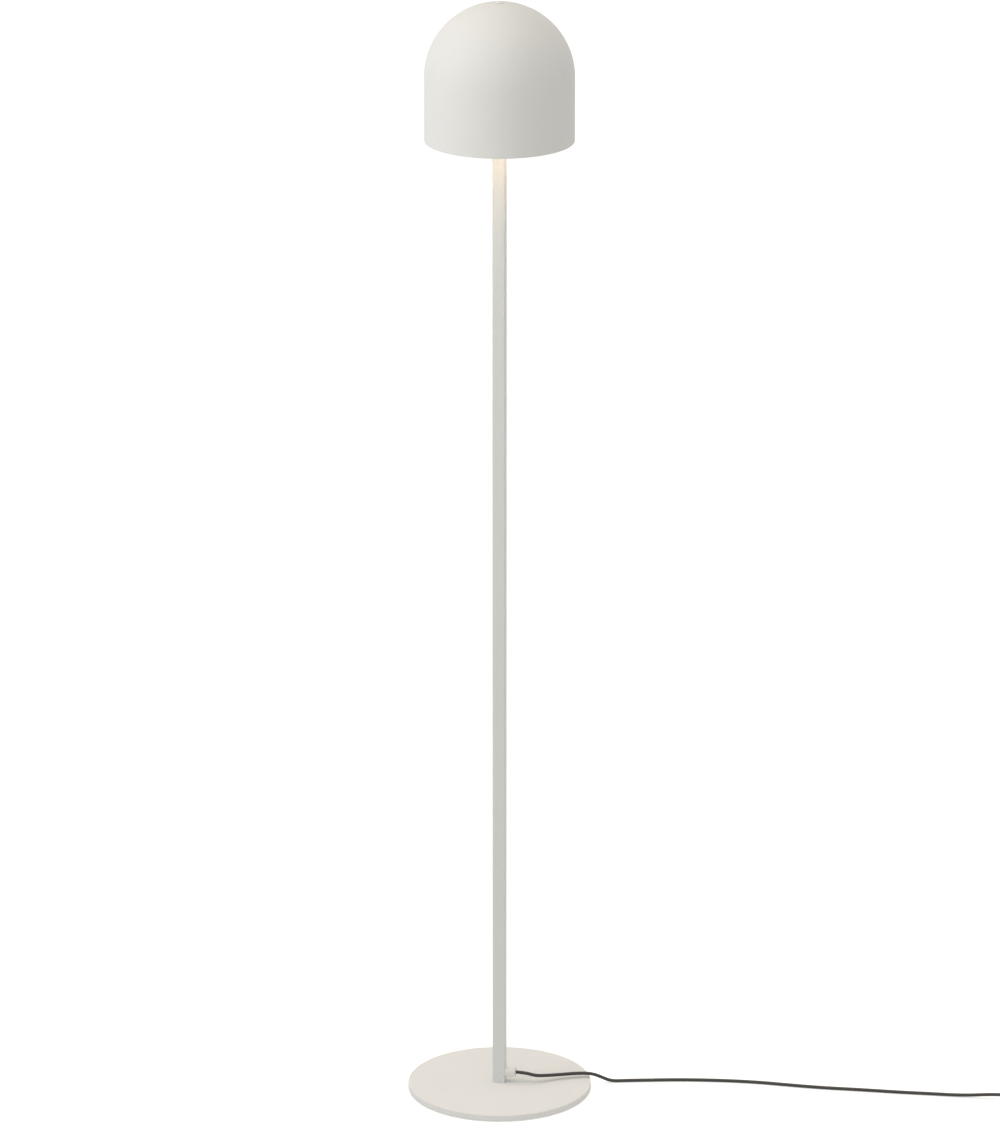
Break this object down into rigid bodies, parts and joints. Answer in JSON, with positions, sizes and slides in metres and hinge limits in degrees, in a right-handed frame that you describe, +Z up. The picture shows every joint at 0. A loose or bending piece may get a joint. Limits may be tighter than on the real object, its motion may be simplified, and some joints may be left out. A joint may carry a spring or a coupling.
{
  "type": "floor lamp",
  "caption": "Floor lamp with a round flat base, a slim square stem, a domed mushroom shade and a cord with a foot switch and a plug.",
  "frame": {"origin": "on the floor, at the centre of the round base", "axes": "+Z up along the stem, +X towards the side where the cord leaves the stem"},
  "size_m": [1.0322, 0.24, 1.4619],
  "materials": {
    "base_paint": "satin white",
    "stem_paint": "satin white",
    "shade_paint": "satin white",
    "cap_paint": "satin white",
    "pad_felt": "pressed felt",
    "grip_nylon": "white",
    "zinc": "zinc plated",
    "strap_zinc": "zinc plated strip",
    "black_rubber": "matte",
    "holder_plastic": "white",
    "porcelain": "white unglazed",
    "contact_brass": "plain",
    "pin_brass": "nickel plated",
    "globe_opal": "opal, lit from inside",
    "bulb_housing": "white",
    "cap_metal": "nickel plated",
    "tip_solder": "tin solder",
    "black_insulator": "black",
    "board_metal": "white lacquer",
    "chip_resin": "yellow phosphor",
    "board_green": "green laminate",
    "cord_sheath": "dark grey, satin",
    "brown_core": "brown",
    "blue_core": "blue",
    "switch_shell": "dark grey",
    "switch_key": "dark grey",
    "sleeve_pvc": "soft dark grey",
    "module_black": "black",
    "white_nylon": "white",
    "plug_pvc": "dark grey",
    "pin_insulation": "black"
  },
  "bodies": {
    "lamp": {"base_plate": "base_paint", "stem_tube": "stem_paint", "shade": "shade_paint", "cap_screw": "cap_paint", "base_pad": "pad_felt", "cord_grip": "grip_nylon", "grip_screw": "grip_nylon", "base_screw": "zinc", "foot_insert": "zinc", "top_insert": "zinc", "nipple": "zinc", "lock_washer": "zinc", "lock_nut": "zinc", "arch_screws": "zinc", "arch_nut": "zinc", "terminal_screws": "zinc", "clamp_screws": "zinc", "switch_screws": "zinc", "switch_spring": "zinc", "shade_saddle": "strap_zinc", "shade_arch": "strap_zinc", "shade_washer": "black_rubber", "switch_feet": "black_rubber", "holder_cap": "holder_plastic", "holder_skirt": "holder_plastic", "holder_core": "porcelain", "thread_sleeve": "contact_brass", "centre_contact": "contact_brass", "sleeve_contact": "contact_brass", "holder_terminals": "contact_brass", "module_lugs": "contact_brass", "plug_pins": "pin_brass", "stem_cable": "cord_sheath", "cord_to_switch": "cord_sheath", "cord_from_switch": "cord_sheath", "cord_coil": "cord_sheath", "cord_to_plug": "cord_sheath", "core_brown": "brown_core", "switch_brown_wires": "brown_core", "core_blue": "blue_core", "switch_blue_wire": "blue_core", "switch_base": "switch_shell", "switch_cover": "switch_shell", "switch_sleeves": "sleeve_pvc", "plug_boot": "sleeve_pvc", "switch_module": "module_black", "cord_clamps": "white_nylon", "plug_body": "plug_pvc", "pin_sleeves": "pin_insulation"},
    "bulb_tip": {"bulb_tip": "tip_solder"},
    "bulb": {"bulb_globe": "globe_opal", "bulb_body": "bulb_housing", "bulb_cap": "cap_metal", "bulb_insulator": "black_insulator", "led_board": "board_metal", "led_chips": "chip_resin", "driver_board": "board_green"},
    "button": {"switch_button": "switch_key", "switch_plunger": "white_nylon"}
  },
  "joints": [
    {"name": "button_press", "type": "slide", "parent": "lamp", "child": "button", "axis": [0, 0, -1], "range_m": [0, 0.0026], "stiffness_N_per_m": 900, "springref_m": -0.003, "deforming": ["switch_spring"]},
    {"name": "bulb_rise", "type": "slide", "parent": "lamp", "child": "bulb_tip", "axis": [0, 0, 1], "range_m": [0, 0.0146]},
    {"name": "bulb_turn", "type": "hinge", "parent": "bulb_tip", "child": "bulb", "pos_m": [0, 0, 1.35], "axis": [0, 0, 1], "range_deg": [0, 1440]}
  ],
  "couplings": [
    {"joint": "bulb_rise", "follows": "bulb_turn", "m_per_rad": 0.00057757}
  ]
}
